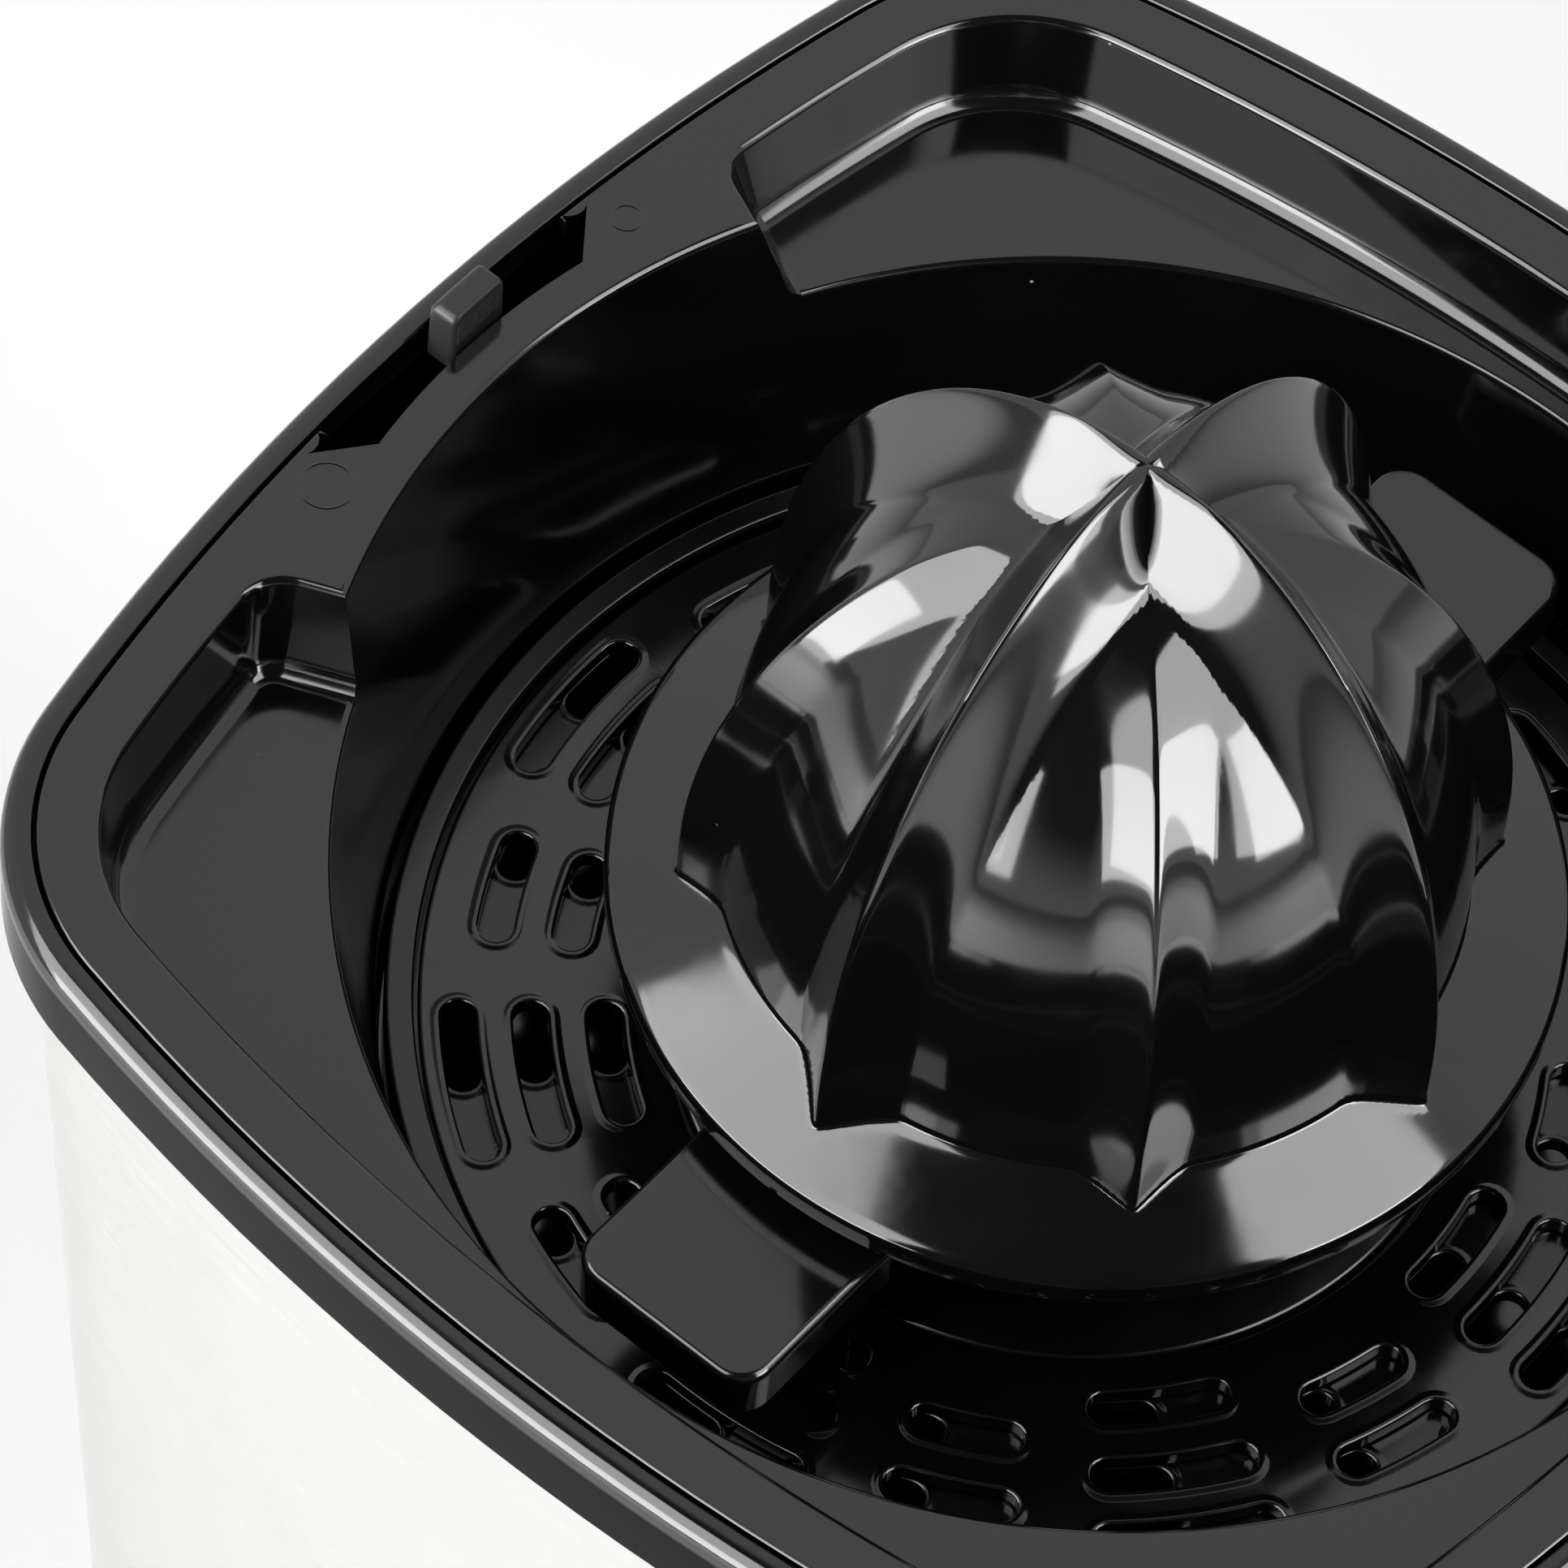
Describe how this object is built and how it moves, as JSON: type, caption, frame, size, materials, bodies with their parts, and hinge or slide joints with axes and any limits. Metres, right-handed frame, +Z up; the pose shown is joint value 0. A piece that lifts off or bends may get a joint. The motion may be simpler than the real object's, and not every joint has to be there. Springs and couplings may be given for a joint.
{
  "type": "citrus juicer",
  "caption": "Electric citrus juicer with a ribbed reamer in a slotted strainer bowl, a lift-out black tray, a flip spout and a tapered steel housing.",
  "frame": {"origin": "centre of the overall box at the worktop plane, under the feet", "axes": "+Z up along the reamer's axis, -Y towards the spout at the front, +X to the right seen from the front"},
  "size_m": [0.1678, 0.1878, 0.2623],
  "materials": {
    "black_gloss": "glossy black ABS",
    "black_satin": "satin black moulded plastic",
    "steel_sleeve": "fine brushed stainless steel",
    "rubber": "matt black rubber",
    "zinc_steel": "zinc plated steel",
    "spring_steel": "drawn spring steel",
    "white_acetal": "natural white acetal",
    "grey_plastic": "grey glass-filled plastic",
    "copper_wire": null,
    "magnet": null,
    "brown_insulation": "brown insulation",
    "blue_insulation": "blue insulation"
  },
  "bodies": {
    "base": {"base_plate": "black_satin", "foot_front_left": "rubber", "foot_front_right": "rubber", "foot_rear_right": "rubber", "foot_rear_left": "rubber", "base_screw_1": "zinc_steel", "base_screw_2": "zinc_steel", "base_screw_3": "zinc_steel", "base_screw_4": "zinc_steel", "housing_sleeve": "steel_sleeve", "top_cover": "black_gloss", "cord_gland": "rubber", "spindle_bush": "white_acetal", "spindle_seal": "rubber", "gear_case": "grey_plastic", "case_screw_1": "zinc_steel", "case_screw_2": "zinc_steel", "case_screw_3": "zinc_steel", "middle_gear_pin": "zinc_steel", "spring_seat": "zinc_steel", "press_spring": "spring_steel", "switch_bracket": "zinc_steel", "switch_body": "black_satin", "motor_can": "zinc_steel", "motor_lid": "zinc_steel", "coil_bobbin": "white_acetal", "motor_winding": "copper_wire", "lead_inlet_switch": "brown_insulation", "lead_switch_motor": "brown_insulation", "lead_inlet_motor": "blue_insulation"},
    "tray": {"juice_tray": "black_gloss", "spout_pin": "zinc_steel"},
    "spout_flap": {"spout_flap": "black_gloss"},
    "strainer": {"strainer": "black_gloss"},
    "pulp_disc": {"pulp_disc": "black_gloss"},
    "reamer_bush": {"reamer_bush": "white_acetal"},
    "thrust_washer": {"thrust_washer": "white_acetal"},
    "reamer": {"reamer": "black_gloss"},
    "spindle_slider": {"spring_cup": "white_acetal"},
    "spindle": {"spindle": "zinc_steel", "output_gear": "white_acetal", "spindle_clip": "spring_steel"},
    "middle_gear": {"middle_gear": "white_acetal"},
    "motor_rotor": {"motor_shaft": "zinc_steel", "motor_magnet": "magnet"},
    "switch_button": {"switch_button": "white_acetal"}
  },
  "joints": [
    {"name": "tray_lift", "type": "slide", "parent": "base", "child": "tray", "axis": [0, 0, 1], "range_m": [0, 0.08]},
    {"name": "spout_flip", "type": "hinge", "parent": "tray", "child": "spout_flap", "pos_m": [0, -0.0785, 0.162], "axis": [-1, 0, 0], "range_deg": [0, 50]},
    {"name": "strainer_lift", "type": "slide", "parent": "tray", "child": "strainer", "axis": [0, 0, 1], "range_m": [0, 0.06]},
    {"name": "pulp_turn", "type": "hinge", "parent": "strainer", "child": "pulp_disc", "pos_m": [0, 0.01, 0.1744], "axis": [0, 0, 1], "range_deg": [-9, 7]},
    {"name": "reamer_lift", "type": "slide", "parent": "strainer", "child": "reamer_bush", "axis": [0, 0, 1], "range_m": [0, 0.08]},
    {"name": "reamer_press", "type": "slide", "parent": "reamer_bush", "child": "thrust_washer", "axis": [0, 0, 1], "range_m": [-0.0025, 0], "stiffness_N_per_m": 1500, "springref_m": 0.003},
    {"name": "reamer_spin", "type": "hinge", "parent": "thrust_washer", "child": "reamer", "pos_m": [0, 0.01, 0.2], "axis": [0, 0, 1], "continuous": true},
    {"name": "spindle_press", "type": "slide", "parent": "base", "child": "spindle_slider", "axis": [0, 0, 1], "range_m": [-0.0025, 0], "deforming": ["press_spring"]},
    {"name": "spindle_spin", "type": "hinge", "parent": "spindle_slider", "child": "spindle", "pos_m": [0, 0.01, 0.15], "axis": [0, 0, 1], "continuous": true},
    {"name": "middle_gear_spin", "type": "hinge", "parent": "base", "child": "middle_gear", "pos_m": [0.03101, 0.02129, 0.12], "axis": [0, 0, 1], "continuous": true},
    {"name": "motor_spin", "type": "hinge", "parent": "base", "child": "motor_rotor", "pos_m": [0.01323, 0.04668, 0.09], "axis": [0, 0, 1], "continuous": true},
    {"name": "switch_press", "type": "slide", "parent": "base", "child": "switch_button", "axis": [0, 0, 1], "range_m": [-0.0025, 0]}
  ],
  "couplings": [
    {"joint": "spindle_press", "follows": "reamer_press", "ratio": 1},
    {"joint": "switch_press", "follows": "reamer_press", "ratio": 1},
    {"joint": "spindle_spin", "follows": "reamer_spin", "ratio": 1},
    {"joint": "middle_gear_spin", "follows": "reamer_spin", "ratio": -4.5},
    {"joint": "motor_spin", "follows": "reamer_spin", "ratio": 18.75}
  ]
}
